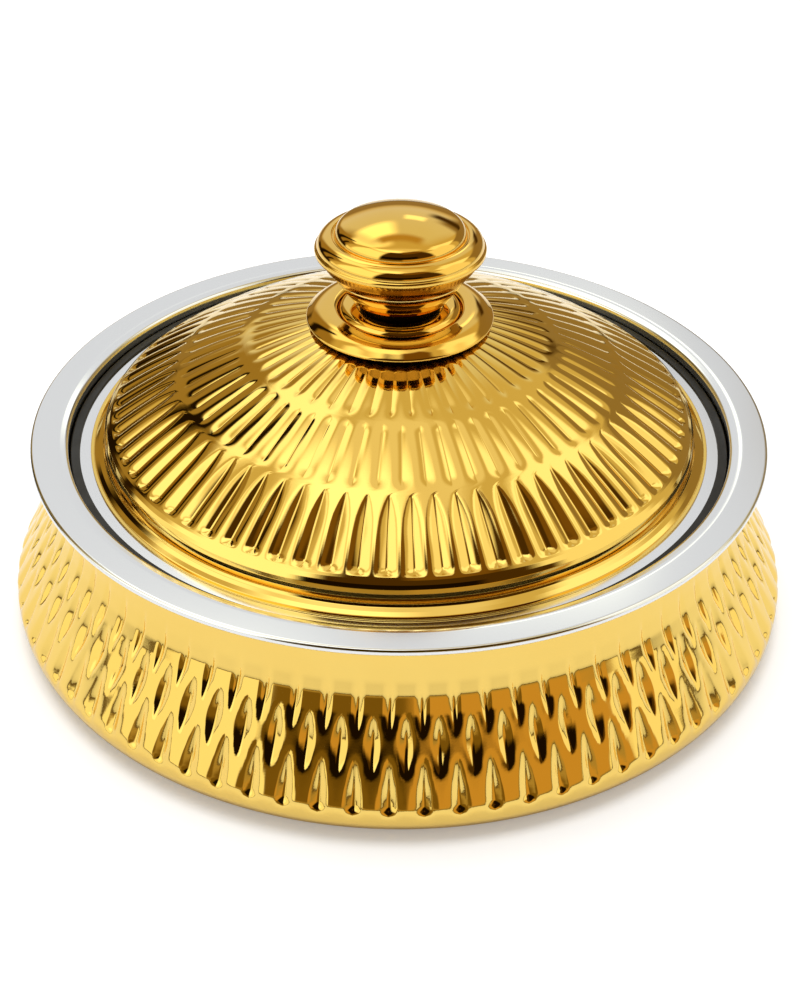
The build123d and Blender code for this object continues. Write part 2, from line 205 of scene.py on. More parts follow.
def rounded_line(corners, turn=5.0, guard=0.25):
    """Line through (radius, height, rounding) corners. A rounding is an arc that touches both runs,
    with a point every few degrees of turn. Long runs get a point a little way in from each end, so
    that smooth shading keeps them straight."""
    spots = [np.array(corners[0][:2], float)]
    for before, here, after in zip(corners, corners[1:], corners[2:]):
        middle = np.array(here[:2], float)
        back = np.array(before[:2], float) - middle
        ahead = np.array(after[:2], float) - middle
        back /= np.linalg.norm(back)
        ahead /= np.linalg.norm(ahead)
        half = np.arccos(np.clip(back @ ahead, -1, 1)) / 2
        rounding = max(here[2], 0.05)
        centre = middle + (back + ahead) / np.linalg.norm(back + ahead) * rounding / sin(half)
        first = middle + back * rounding / tan(half) - centre
        start = np.arctan2(first[1], first[0])
        swing = (pi - 2 * half) * np.sign(back[1] * ahead[0] - back[0] * ahead[1])
        angles = start + swing * np.linspace(0, 1, max(2, round(abs(np.degrees(swing)) / turn) + 1))
        spots += list(centre + rounding * np.stack([np.cos(angles), np.sin(angles)], 1))
    spots.append(np.array(corners[-1][:2], float))
    line = [spots[0]]
    for here, after in zip(spots, spots[1:]):
        length = np.linalg.norm(after - here)
        if length > 4 * guard:
            line += [here + (after - here) * guard / length, after - (after - here) * guard / length]
        line.append(after)
    line = np.array(line)
    return line[np.concatenate([[True], np.linalg.norm(np.diff(line, axis=0), axis=1) > 1e-6])]


def line_normals(line):
    """Unit normals on the left of a line, from the mean direction of the runs that meet at each point."""
    runs = np.diff(line, axis=0)
    runs /= np.linalg.norm(runs, axis=1)[:, None]
    along = np.vstack([runs[:1], runs[:-1] + runs[1:], runs[-1:]])
    along /= np.linalg.norm(along, axis=1)[:, None]
    return np.stack([-along[:, 1], along[:, 0]], 1)


def distances(line):
    """Length of the line up to each of its points."""
    return np.concatenate([[0], np.cumsum(np.linalg.norm(np.diff(line, axis=0), axis=1))])


def resampled(line, marks):
    """Points of the line at the given distances from its start."""
    lengths = distances(line)
    return np.stack([np.interp(marks, lengths, line[:, axis]) for axis in (0, 1)], 1)


def sheet_loop(line, wall):
    """Closed loop round a sheet: the seen line, then the line one wall to its left, with round edges."""
    normals = line_normals(line)
    inner = line + wall * normals
    cap = np.linspace(0, pi, 6)[1:-1, None]

    def edge(point, normal, outward):
        middle = point + normal * wall / 2
        return middle + wall / 2 * (-normal * np.cos(cap) + outward * np.sin(cap))

    loop = [line]
    if line[-1, 0] > 1e-6:
        loop.append(edge(line[-1], normals[-1], np.array([normals[-1, 1], -normals[-1, 0]])))
    loop.append(inner[::-1])
    if line[0, 0] > 1e-6:
        loop.append(edge(line[0], normals[0], np.array([-normals[0, 1], normals[0, 0]]))[::-1])
    return np.concatenate(loop)


def grid_mesh(name, points, closed):
    """Mesh of a (rows, columns, 3) grid of millimetre points. Columns always close on themselves, rows
    do if closed, and a first or last row on the centre line becomes one point."""
    rows, columns = points.shape[:2]
    index = np.arange(rows * columns).reshape(rows, columns)
    spots = points.reshape(-1, 3)
    lower, upper = (index, np.roll(index, -1, 0)) if closed else (index[:-1], index[1:])
    quads = np.stack([lower, np.roll(lower, -1, 1), np.roll(upper, -1, 1), upper], -1)
    faces = quads.reshape(-1, 4)
    if not closed:
        for row in (0, rows - 1):
            if np.abs(points[row, :, :2]).max() < 1e-6:
                faces = np.where(faces // columns == row, row * columns, faces)
    mesh = bpy.data.meshes.new(name)
    mesh.from_pydata(spots * MM, [], unique_corners(faces))
    mesh.validate()
    keep_used(mesh)
    mesh.polygons.foreach_set("use_smooth", np.ones(len(mesh.polygons), bool))
    mesh.update()
    piece = bpy.data.objects.new(name, mesh)
    bpy.context.scene.collection.objects.link(piece)
    return piece


def unique_corners(faces):
    """Faces as lists, where two corners that are the same point count once."""
    same = (faces == np.roll(faces, -1, 1)).any(1)
    whole = faces[~same].tolist()
    return whole + [list(dict.fromkeys(face)) for face in faces[same].tolist()]


def keep_used(mesh):
    """Removes the points that no face uses."""
    used = np.zeros(len(mesh.vertices), bool)
    corners = np.empty(len(mesh.loops), np.int32)
    mesh.loops.foreach_get("vertex_index", corners)
    used[corners] = True
    if used.all():
        return
    work = bmesh.new()
    work.from_mesh(mesh)
    work.verts.ensure_lookup_table()
    bmesh.ops.delete(work, geom=[work.verts[i] for i in np.flatnonzero(~used)], context="VERTS")
    work.to_mesh(mesh)
    work.free()


def turned(name, loop, columns=288):
    """Piece turned from a loop of (radius, height): each point goes round the centre line. A loop that
    starts and ends on the centre line is closed by it."""
    open_loop = loop[0, 0] < 1e-6 and loop[-1, 0] < 1e-6
    radius, height = loop[:, 0], loop[:, 1]
    area = np.sum(radius * np.roll(height, -1) - np.roll(radius, -1) * height)
    loop = loop if area > 0 else loop[::-1]
    angles = np.linspace(0, 2 * pi, columns, endpoint=False)
    points = np.empty((len(loop), columns, 3))
    points[..., 0] = loop[:, :1] * np.cos(angles)
    points[..., 1] = loop[:, :1] * np.sin(angles)
    points[..., 2] = loop[:, 1:]
    return grid_mesh(name, points, not open_loop)


def pressed(name, line, angles, depth, wall, room, back_rows):
    """Sheet piece whose seen side is a line carried round the centre line and pushed in by depth
    millimetres, given for each point of the line and each column, along the line's left normal. The
    angles are counted from the front, towards +X. The hidden side is the line again at back_rows,
    one wall further in, and deeper by the room of the press where the sheet is pressed."""
    normals = line_normals(line)
    seen = line[:, None, :] + normals[:, None, :] * depth[..., None]
    inward = wall + room * (depth[back_rows].max(1) > 0.02)
    back = line[back_rows] + normals[back_rows] * inward[:, None]
    sheet = np.concatenate([seen, np.repeat(back[::-1, None], angles.shape[1], 1)])
    turns = np.concatenate([angles, angles[back_rows][::-1]])
    points = np.stack([sheet[..., 0] * np.sin(turns), -sheet[..., 0] * np.cos(turns), sheet[..., 1]], -1)
    return grid_mesh(name, points, True)


def closed_loop(corners):
    """Closed loop round (radius, height, rounding) corners, started in the middle of its last run."""
    first, last = np.array(corners[0][:2], float), np.array(corners[-1][:2], float)
    start = (*((first + last) / 2), 0)
    return rounded_line([start, *corners, start])[:-1]


def arc(centre, radius, start, end, steps):
    """Points of an arc about a centre, from one angle to another, in degrees from +radius upwards."""
    angles = np.radians(np.linspace(start, end, steps))
    return np.array(centre) + np.stack([np.cos(angles), np.sin(angles)], 1) * radius


def shown(piece, body, material_name, slot, *nodes):
    """Puts a piece on its body, hides the nodes it stands for, and gives it a finish."""
    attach(piece, body)
    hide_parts(*nodes)
    piece.data.materials.append(bpy.data.materials[material_name])
    return piece


# ---------------------------------------------------------------- dents and flutes


def wrapped(angles, count, phase):
    """Angle from the nearest crease, where count creases stand evenly round the piece, one at phase."""
    pitch = 2 * pi / count
    return (angles - phase + pitch / 2) % pitch - pitch / 2


def crease_columns(columns, count, phase, pull):
    """Angles of the columns, drawn towards the creases and the ridges between them: each pitch's
    share u becomes u minus pull times sin(4 pi u) / 4 pi."""
    share = np.arange(columns) * count / columns
    return phase + (share - pull * np.sin(4 * pi * share) / (4 * pi)) * 2 * pi / count


def leaf(across, along, half_width, half_length, fullness, slope, edge, floor):
    """Depth of a leaf with two points: its half width shrinks from the middle to nothing at the
    points as 1 - |along / half_length| to the power of fullness."""
    width = half_width * (1 - np.abs(along / half_length) ** fullness)
    return groove(width - np.abs(across), width, slope, edge, floor)


def drop(across, along, half_width, tip, fullness, fan, slope, edge, floor):
    """Depth of a drop with one point, tip millimetres from the end of its crease. Past the crease's
    end the drop is round, cut by flat facets that fan out about the end in equal turns."""
    width = half_width * (1 - (np.maximum(along, 0) / tip) ** fullness)
    turns = np.linspace(0, pi / 2, fan)[:, None, None]
    reach = (np.abs(across) * np.cos(turns) - along * np.sin(turns)).max(0)
    return groove(width - np.where(along > 0, np.abs(across), reach), width, slope, edge, floor)


def groove(inside, width, slope, edge, floor):
    """Depth of a pressed groove with soft edges, straight flanks and a blunt bottom. Inwards from
    0.4 mm outside the outline the flank steepens evenly, until it has its full slope at edge times
    the half width inside the outline, and the depth ends at the floor."""
    inner = edge * np.maximum(width, 0) + 0.1
    soft = np.clip(inside + 0.4, 0, inner + 0.4) ** 2 / (2 * (inner + 0.4))
    return np.minimum(slope * (soft + np.maximum(inside - inner, 0)), floor)


def eased(value, start, end):
    """Soft step from 0 at start to 1 at end: 3t^2 - 2t^3."""
    share = np.clip((value - start) / (end - start), 0, 1)
    return share * share * (3 - 2 * share)


# ---------------------------------------------------------------- outlines


SHEET = 0.6
BOWL_SHEET = 0.7
CAP_SHEET = 0.8
PRESS_ROOM = 1.5  # how far the hidden side stands off behind dents and flutes
DEEPEST = PRESS_ROOM - 0.05  # deepest press, which leaves the sheet its gauge
rim_radius, rim_height = outer_radius("inner_bowl"), top("inner_bowl")
mouth_radius = outer_radius("lid_gasket") + 0.3
ledge_height = bottom("lid_gasket") - 0.1
ledge_radius = mouth_radius - 5.5
bowl_floor = bottom("inner_bowl") + BOWL_SHEET
belly_radius, foot_height = outer_radius("outer_shell"), bottom("outer_shell")
liner_radius, liner_bottom = outer_radius("lid_liner"), bottom("lid_liner")
ring_height = top("lid_liner")
lid_edge_radius, seat_height = outer_radius("lid_shell"), top("lid_shell")
skirt_radius, skirt_top = lid_edge_radius - 4.7, seat_height - 35.2
collar_radius, collar_seat = outer_radius("knob_collar"), bottom("knob_collar")
bead_radius, bead_top = outer_radius("knob_bead"), top("knob_bead")
stem_radius, stem_top = outer_radius("knob_stem"), top("knob_stem")
root_radius = stem_radius - 8.6
cap_radius, cap_top = outer_radius("knob_cap"), top("knob_cap")
cap_lip = stem_top + 7.8
BORE = 3.25
CROWN_RADIUS = 200.0  # of the dome's arc


def flange_height(radius):
    """Height of the flange, which falls evenly from the rolled edge to the mouth."""
    return rim_height - 1.2 * (rim_radius - radius) / (rim_radius - mouth_radius)


def casing_line(row_step):
    """Seen line of the casing from its turned-in foot up to the edge under the rim, the distance of
    each point from the start, and the points where the dents are."""
    neck_radius = rim_radius - 9
    line = rounded_line(
        [
            (belly_radius - 12, foot_height, 0),
            (belly_radius, foot_height, 8),
            (belly_radius, foot_height + 11.1, 6),
            (neck_radius, rim_height - 18.5, 40),
            (neck_radius, flange_height(neck_radius) - 1.45, SHEET),
            (rim_radius - 1.15, flange_height(rim_radius - 1.15) - 1.45, 0),
        ],
        turn=7.0,
    )
    marks = distances(line)
    low, high = 16.2, 66.0
    rows = np.arange(low, high, row_step)
    plain = np.concatenate([marks[marks < low - row_step / 2], rows, marks[marks > high + row_step / 2]])
    return resampled(line, plain), plain


def crown(along):
    """Points of the dome at distances along its arc, measured down from the knob's seat. The arc
    ends at the top of the skirt."""
    seat, foot = np.array([27.0, seat_height]), np.array([skirt_radius, skirt_top])
    half = np.linalg.norm(foot - seat) / 2
    across = (foot - seat) / (2 * half)
    centre = (seat + foot) / 2 + np.array([across[1], -across[0]]) * sqrt(CROWN_RADIUS**2 - half**2)
    start = np.arctan2(*(seat - centre)[::-1])
    angles = start - np.asarray(along, float) / CROWN_RADIUS
    return centre + CROWN_RADIUS * np.stack([np.cos(angles), np.sin(angles)], -1)


def crown_length():
    """Length of the dome's arc from the knob's seat to the top of the skirt."""
    chord = np.linalg.norm(crown(0.0) - [skirt_radius, skirt_top])
    return 2 * CROWN_RADIUS * np.arcsin(chord / (2 * CROWN_RADIUS))


# ---------------------------------------------------------------- pieces


def make_casing(settings):
    """Casing of the body: the plain line turned round, with three rows of grooves pressed in. The
    lowest row is drops with a fanned round foot, the middle row leaves half a pitch away, and the
    top row narrow leaves, each with a faint wide tail above."""
    line, along = casing_line(settings.row_step)
    count, phase = settings.dents, radians(settings.phase)
    columns = crease_columns(12 * count, 2 * count, phase, settings.pull)
    angles = np.repeat(columns[None], len(line), 0)
    radius, place = line[:, :1], along[:, None]
    first = radius * wrapped(angles, count, phase)
    second = radius * wrapped(angles, count, phase + pi / count)
    press = (settings.slope, settings.edge)
    depth = drop(first, place - 20.8, settings.low_width, 15.2, 1.6, 4, *press, 1.42)
    depth += leaf(second, place - 39.8, settings.middle_width, 9.2, 1.8, *press, 1.15)
    depth += leaf(first, place - 52.0, settings.high_width, 8.6, 1.5, 1.5 * settings.slope, 0.3, 1.1)
    depth += leaf(first, place - 58.0, 3.0, 7.0, 2.0, 0.07, 1.0, 1.0)
    depth = np.minimum(depth * (place > 16) * (place < 66), DEEPEST)
    back_rows = np.unique(np.round(np.linspace(0, len(line) - 1, 12)).astype(int))
    casing = pressed("casing", line, angles, depth, SHEET, PRESS_ROOM, back_rows)
    shown(casing, "base", "gold_coated_steel", "gold_steel", "outer_shell")


def make_rim_bowl():
    """Bowl with its flange and rolled edge: one sheet, turned."""
    route = rounded_line(
        [
            (rim_radius - 3.8, flange_height(rim_radius - 3.8) - 2.3, 0),
            (rim_radius, rim_height - 2.3, 1.0),
            (rim_radius, rim_height, 1.0),
            (mouth_radius + 3.4, rim_height - 0.25, 6),
            (mouth_radius, rim_height - 1.2, 1.6),
            (mouth_radius, ledge_height, 1.2),
            (ledge_radius, ledge_height, 1.2),
            (ledge_radius - 4, bowl_floor, 12),
            (0, bowl_floor, 0),
        ],
        turn=9.0,
    )
    bowl = turned("rim_and_bowl", sheet_loop(route, BOWL_SHEET), 360)
    shown(bowl, "base", "polished_steel", "polished_steel", "inner_bowl")


def make_dome(settings):
    """Dome of the lid: the crown's arc, a round shoulder, a short skirt and a flat ring with fine
    spun steps, turned round. Three rows of flutes are pressed into the crown: the top row runs out
    from under the knob to points, the middle row is pointed leaves, and the low row is drops with a
    round foot."""
    edge = ring_height + SHEET
    length = crown_length()
    shoulder = rounded_line(
        [
            (lid_edge_radius, edge, 0),
            (lid_edge_radius - 1.0, edge, 0.1),
            (lid_edge_radius - 1.1, edge - 0.12, 0.1),
            (lid_edge_radius - 1.4, edge - 0.06, 0.1),
            (lid_edge_radius - 2.7, edge + 0.6, 0.6),
            (skirt_radius + 0.5, edge + 1.2, 0.4),
            (skirt_radius, edge + 2.0, 0.6),
            (skirt_radius, skirt_top, 6.0),
            (*crown(length - 4.0), 0),
        ],
        turn=13.0,
        guard=0.12,
    )
    step = settings.row_step
    spans = [(length - 4.5, 73, 0.8), (73, 59, 2), (59, 51, 1), (51, 44, 1), (44, 33, 2), (33, 26, 1)]
    spans += [(26, 14, 1), (14, 4, 2), (4, 0, 2.5)]
    rows = np.concatenate([np.arange(high, low, -step * share) for high, low, share in spans] + [[0.0]])
    line = np.concatenate([shoulder, crown(rows), [[BORE, seat_height]]])
    place = np.concatenate([np.full(len(shoulder), length + 10), rows, [-10.0]])[:, None]
    zones = [
        (-20, 25.0, settings.top_flutes, radians(settings.top_phase)),
        (26.8, 50.2, settings.middle_flutes, radians(settings.middle_phase)),
        (52.0, 200, settings.low_flutes, radians(settings.low_phase)),
    ]
    columns = np.stack([crease_columns(720, n, phase, settings.pull) for _, _, n, phase in zones])
    ends = [-1000, *[end for zone in zones for end in zone[:2]], 1000]
    shares = [np.interp(place[:, 0], ends[2 * i : 2 * i + 4], [0, 1, 1, 0]) for i in range(3)]
    angles = np.stack(shares, 1) @ columns
    radius = line[:, :1]

    def flute(zone):
        """Distance across from the crease, and half the pitch, in millimetres."""
        return radius * wrapped(angles, zones[zone][2], zones[zone][3]), radius * pi / zones[zone][2]

    def touching(zone, start, full, fade, end):
        """Depth of flutes that touch: half the pitch times slope / 2, times the square of the share
        of the way from ridge to crease, faded in and out along the flute."""
        across, half = flute(zone)
        share = 1 - np.abs(across) / half
        return settings.slope * half / 2 * share**2 * eased(place, start, full) * eased(place, end, fade)

    depth = touching(0, -2, -1, 20.5, 25.5) + touching(1, 26.5, 30.0, 46.5, 51.0)
    across, half = flute(2)
    half = settings.cover * half
    end = 79.2 - half
    press = (settings.low_slope, 0.5, 1.4)
    width = half * (1 - (np.maximum(65.0 - place, 0) / 13.2) ** 2.4)
    body = groove(width - np.abs(across), width, *press)
    depth += np.where(place > end, drop(across, end - place, half, 10, 1, settings.fan, *press), body)
    depth = np.minimum(depth * (place < length), DEEPEST)
    back_rows = np.unique(np.round(np.linspace(0, len(line) - 1, 10)).astype(int))
    dome = pressed("dome", line, angles, depth, SHEET, PRESS_ROOM, back_rows)
    shown(dome, "lid", "gold_coated_steel", "gold_steel", "lid_shell")


def make_lid_edge():
    """Liner with its silver flange, and the gasket round it, both turned."""
    plug_radius = ledge_radius - 3
    route = rounded_line(
        [
            (6.0, liner_bottom + 2, 0),
            (plug_radius, liner_bottom, 4),
            (plug_radius, ring_height - SHEET, SHEET),
            (liner_radius, ring_height - SHEET, 0),
        ]
    )
    liner = turned("silver_ring_and_liner", sheet_loop(route, SHEET), 360)
    shown(liner, "lid", "polished_steel", "polished_steel", "lid_liner")
    outer, low, high = outer_radius("lid_gasket"), bottom("lid_gasket"), top("lid_gasket")
    corners = [
        (ledge_radius - 0.5, low, 0.3),
        (outer, low, 1.5),
        (outer, high, 0.6),
        (liner_radius - 1.3, high, 0.2),
        (liner_radius - 1.3, ring_height + 0.05, 0),
        (liner_radius + 0.3, ring_height + 0.05, 0),
        (liner_radius + 0.3, ring_height - 0.65, 0),
        (ledge_radius - 0.5, ring_height - 0.65, 0.2),
    ]
    gasket = turned("gasket", closed_loop(corners), 360)
    shown(gasket, "lid", "moulded_silicone", "gasket_rubber", "lid_gasket")


def make_knob():
    """Collar, bead, stem, cap and the plate under the cap, each turned."""
    lip_top, crest = collar_seat + 1.0, collar_seat + 4.3
    ridge = collar_radius - 9
    outside = rounded_line(
        [
            (BORE, collar_seat, 0),
            (collar_radius - 5, collar_seat, 0),
            (collar_radius, collar_seat + 0.33, 0.25),
            (collar_radius, lip_top, 0.9),
            (collar_radius - 4.1, crest, 8.5),
            (ridge, crest, 0),
        ]
    )
    inside = arc((ridge, crest - 1.4), 1.4, 90, 180, 10)
    loop = np.concatenate([outside, inside[1:], [[ridge - 1.4, lip_top], [BORE, lip_top]]])
    collar = turned("collar", loop)
    # The collar's underside is painted dark: painted shade under the collar.
    shown(collar, "lid", "gold_collar_shaded_underside", "knob_gold", "knob_collar")

    corners = [
        (BORE, lip_top, 0),
        (bead_radius, lip_top, 0),
        (bead_radius, bead_top, 2.9),
        (stem_radius - 7.6, bead_top, 0.6),
        (stem_radius - 7.7, bead_top - 1.4, 0.2),
        (BORE, bead_top - 1.4, 0),
    ]
    shown(turned("bead", closed_loop(corners)), "lid", "gold_coated_knob", "knob_gold", "knob_bead")
    corners = [
        (BORE, bead_top - 1.3, 0),
        (root_radius, bead_top - 1.3, 0.1),
        (root_radius, bead_top + 2.9, 0.3),
        (stem_radius - 5.5, bead_top + 3.4, 0.5),
        (stem_radius, stem_top - 0.6, 0.3),
        (stem_radius, stem_top, 0.2),
        (BORE, stem_top, 0),
    ]
    # The neck's root is painted nearly black: painted shade where it meets the bead.
    shown(turned("stem", closed_loop(corners)), "lid", "gold_neck_shaded_root", "knob_gold", "knob_stem")

    route = rounded_line(
        [
            (BORE, stem_top, 0),
            (stem_radius + 0.4, stem_top, 0.4),
            (cap_radius - 2.9, stem_top + 3.4, 0.5),
            (cap_radius - 1.6, cap_lip - 1.6, 0),
        ]
    )
    plate = turned("cap_base", sheet_loop(route, CAP_SHEET))
    # The plate's gold is painted darker: painted shade under the cap.
    shown(plate, "lid", "gold_plate_painted_shade", "knob_gold", "knob_cap_base")
    shown(make_cap(), "lid", "gold_coated_knob", "knob_gold", "knob_cap")


def cap_line(inset):
    """Line over the cap, or the one that lies inset inside it: a quarter of an ellipse up the
    shoulder, a shallow groove, a small rounding and the crown's arc to the centre line."""
    band, shoulder = cap_radius - 0.8, cap_radius - 5.6
    high = cap_lip + 5.0
    sweep = np.radians(np.linspace(0, 90, 26))
    side = np.stack(
        [
            shoulder + (band - shoulder - inset) * np.cos(sweep),
            cap_lip + 1.2 + (high - cap_lip - 1.2 - inset) * np.sin(sweep),
        ],
        1,
    )
    crown_radius, crown_foot = shoulder - 1.0, high - 0.3
    edge = crown_radius - 4.2
    rise = cap_top - crown_foot
    curve = (edge**2 / (rise - 4.2) + rise + 4.2) / 2
    turn = np.degrees(np.arctan2(curve - rise, edge))
    corner = arc((edge, crown_foot), 4.2 - inset, 0, turn, 16)
    top_arc = arc((0, cap_top - curve), curve - inset, turn, 90, 40)
    low = high - 0.6 - inset
    dip = [
        [shoulder - inset - 0.1, high - 0.3 - inset],
        [shoulder - inset - 0.3, low],
        [crown_radius - inset + 0.3, low],
    ]
    line = np.concatenate([side, dip, corner, top_arc[1:]])
    line[-1, 0] = 0
    return line


def make_cap():
    """Hollow cap of the knob, with a thin rolled lip."""
    rim = rounded_line(
        [
            (cap_radius - 1.6, cap_lip - 1.6, 0),
            (cap_radius, cap_lip - 0.8, 0.8),
            (cap_radius, cap_lip + 0.8, 0.8),
            (cap_radius - 0.8, cap_lip + 1.2, 0),
        ],
        turn=15.0,
    )
    loop = np.concatenate([rim[:-1], cap_line(0.0), cap_line(CAP_SHEET)[::-1]])
    return turned("cap", loop)


def dress_hidden_nodes():
    """Finishes of the nodes that are right as they are."""
    finishes = {
        "rolled_steel": ["base_plate"],
        "zinc_plate": ["knob_boss", "knob_backing_washer", "knob_spring_washer", "knob_screw"],
        "rigid_foam": ["body_insulation", "lid_insulation"],
        "moulded_rubber": ["base_feet"],
        "moulded_plastic": ["base_plug", "lid_plug"],
        "natural_nylon": ["knob_seat_washer"],
    }
    for finish, nodes in finishes.items():
        for node in nodes:
            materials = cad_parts[node].data.materials
            materials.clear()
            materials.append(bpy.data.materials[finish])


# ---------------------------------------------------------------- stage


# Panels and flags of the studio, painted over each other in this order: azimuths from the front
# towards +X, elevations, colour, strength and width of the soft edge. All angles are in degrees.
# A panel that starts at TENT_FOOT or ends at 90 has no edge there.
TENT_RADIUS = 2.1
TENT_FOOT = -6
PANELS = [
    ("ceiling", (-180, 180), (74, 90), "#fff6e0", 0.95, 7),
    ("ceiling_left", (-112, 12), (66, 90), "#fffff6", 1.7, 12),
    ("back_left", (-168, -112), (44, 68), "#fffff6", 1.5, 6),
    ("back", (148, 212), (18, 62), "#ffffff", 0.82, 8),
    ("right_high", (80, 124), (36, 64), "#fffff6", 1.4, 6),
    ("right_low", (56, 104), (-6, 52), "#fffae4", 1.15, 6),
    ("right_back_flag", (116, 162), (-6, 34), "#aa9369", 0.8, 6),
    ("left_back_flag", (-152, -104), (-6, 45), "#a88d52", 0.95, 8),
    ("left_back_low_flag", (-150, -104), (-6, 14), "#3a280c", 1.0, 5),
    ("left_back_stripe", (-135, -126), (-6, 50), "#1f1404", 1.0, 4),
    ("left_back_stripe_low", (-116, -110), (-6, 34), "#2a1b06", 1.0, 3),
    ("back_low_flag", (146, 214), (-6, 14), "#9c8350", 1.0, 6),
    ("back_spot_left", (-175, -152), (42, 58), "#fffff0", 1.9, 7),
    ("back_spot_right", (168, 178), (32.5, 38.5), "#fffff0", 1.7, 2.5),
    ("back_bar_right", (150, 168), (22, 29), "#4a3410", 1.0, 5),
    ("back_bar_high", (156, 204), (58, 65), "#c4a25a", 1.0, 5),
    ("front_flag", (-36, 58), (-6, 72), "#4a330c", 1.0, 7),
    ("front_flag_black", (-36, 30), (13, 34), "#1a1002", 1.0, 5),
    ("front_flag_top", (5, 62), (60, 76), "#7a5820", 1.0, 5),
    ("front_low_left", (-36, 8), (-6, 13.5), "#7c6226", 1.0, 6),
    ("front_low_right", (4, 60), (-6, 14.5), "#d3a657", 1.0, 6),
    ("front_horizon", (-40, 62), (-6, 4), "#b59c62", 1.0, 4),
    ("left_box", (-92, -36), (14, 62), "#fffff4", 1.5, 7),
    ("left_low", (-104, -36), (-6, 15), "#fffcea", 1.2, 6),
    ("horizon", (-180, 180), (-6, 1.2), "#6b5a3a", 1.0, 1.2),
]


def tent_light(azimuth, elevation):
    """Linear light of the tent at arrays of azimuth and elevation. Each panel covers what is under
    it by the product of four soft steps 3t^2 - 2t^3, one in from each of its edges."""
    light = np.empty((len(azimuth), 4))
    light[:] = linear("#dccb9b")
    for _, (left, right), (low, high), colour, strength, soft in PANELS:
        middle, half = (left + right) / 2, (right - left) / 2
        off = np.abs((azimuth - middle + 180) % 360 - 180)
        side = (half - off) * np.cos(np.radians(elevation)) / soft + 0.5 if half < 180 else 1.0
        up = (elevation - low) / soft + 0.5 if low > TENT_FOOT else 1.0
        down = (high - elevation) / soft + 0.5 if high < 90 else 1.0
        share = 1.0
        for step in (side, up, down):
            step = np.clip(step, 0, 1)
            share = share * step * step * (3 - 2 * step)
        light += (np.array(linear(colour)) * strength - light) * np.reshape(share, (-1, 1))
    light[:, 3] = 1.0
    return light


def make_tent():
    """Sphere round the object that carries the studio's panels and flags. It shows in the metal
    alone and lights nothing else."""
    up = np.radians(np.linspace(-4, 90, 189))[:, None]
    across = np.radians(np.linspace(0, 360, 480, endpoint=False))
    ahead, aside = -np.cos(up) * np.cos(across), np.cos(up) * np.sin(across)
    points = np.stack([aside, ahead, np.sin(up) + 0 * across], -1)
    points[-1, :, :2] = 0
    tent = grid_mesh("studio_tent", points * TENT_RADIUS / MM, False)
    spots = np.empty(3 * len(tent.data.vertices))
    tent.data.vertices.foreach_get("co", spots)
    x, y, z = spots.reshape(-1, 3).T
    light = tent_light(np.degrees(np.arctan2(x, -y)), np.degrees(np.arctan2(z, np.hypot(x, y))))
    tent.data.attributes.new("light", "FLOAT_COLOR", "POINT").data.foreach_set("color", light.ravel())
    material, tree = new_material("painted_light")
    colour = add_node(tree, "ShaderNodeAttribute", {"attribute_name": "light"}).outputs["Color"]
    lamp = add_node(tree, "ShaderNodeEmission", Color=colour, Strength=1.0)
    add_node(tree, "ShaderNodeOutputMaterial", Surface=lamp.outputs[0])
    tent.data.materials.append(material)
    tent.visible_camera = False
    tent.visible_diffuse = False
    tent.visible_shadow = False


def camera_share(tree):
    """Value that is 1 for what the camera sees, straight or through something clear, and else 0."""
    path = add_node(tree, "ShaderNodeLightPath").outputs
    ways = {"i0": path["Is Camera Ray"], "i1": path["Is Transmission Ray"]}
    return add_node(tree, "ShaderNodeMath", {"operation": "MAXIMUM"}, **ways).outputs[0]


def make_floor(settings):
    """Round white table top. Its own light only shows to the camera, and grows away from the object,
    so that the shadow stays and the far table is as white as the near."""
    turns = np.linspace(0, 2 * pi, 96, endpoint=False)
    rings = np.array([0.0, 0.05, 0.2, 0.6, settings.floor_radius])[:, None]
    points = np.stack([rings * np.cos(turns), rings * np.sin(turns), 0 * rings * turns], -1) / MM
    floor = grid_mesh("table_top", points, False)
    material, tree = new_material("white_laminate")
    paint = add_node(tree, "ShaderNodeBsdfDiffuse", Color=linear("#eeeeee"))
    place = add_node(tree, "ShaderNodeTexCoord").outputs["Object"]
    away = add_node(tree, "ShaderNodeVectorMath", {"operation": "LENGTH"}, i0=place).outputs["Value"]
    glow = add_node(tree, "ShaderNodeMapRange", Value=away, i1=0.4, i2=1.6, i3=settings.floor_glow, i4=1.0)
    light = {"i0": camera_share(tree), "i1": glow.outputs["Result"]}
    seen = add_node(tree, "ShaderNodeMath", {"operation": "MULTIPLY"}, **light)
    shine = add_node(tree, "ShaderNodeEmission", Color=linear("#ffffff"), Strength=seen.outputs[0])
    both = add_node(tree, "ShaderNodeAddShader", i0=paint.outputs[0], i1=shine.outputs[0])
    add_node(tree, "ShaderNodeOutputMaterial", Surface=both.outputs[0])
    floor.data.materials.append(material)


def make_world(settings):
    """White to the camera, and a plain grey that fills in the light."""
    world = bpy.data.worlds.new("studio")
    world.use_nodes = True
    tree = world.node_tree
    tree.nodes.clear()
    shades = [
        add_node(tree, "ShaderNodeBackground", Color=linear("#ffffff"), Strength=strength).outputs[0]
        for strength in (settings.fill, 1.0)
    ]
    mix = add_node(tree, "ShaderNodeMixShader", i0=camera_share(tree), i1=shades[0], i2=shades[1])
    add_node(tree, "ShaderNodeOutputWorld", Surface=mix.outputs[0])
    bpy.context.scene.world = world


def soft_lamp(name, place, size, power):
    """Square area lamp that points at the object and doesn't show in the metal."""
    lamp = bpy.data.lights.new(name, "AREA")
    lamp.size = size
    lamp.energy = power
    thing = bpy.data.objects.new(name, lamp)
    bpy.context.scene.collection.objects.link(thing)
    back = (Vector(place) - Vector((0, 0, 0.06))).normalized()
    thing.matrix_world = Matrix.Translation(place) @ back.to_track_quat("Z", "Y").to_matrix().to_4x4()
    thing.visible_glossy = False


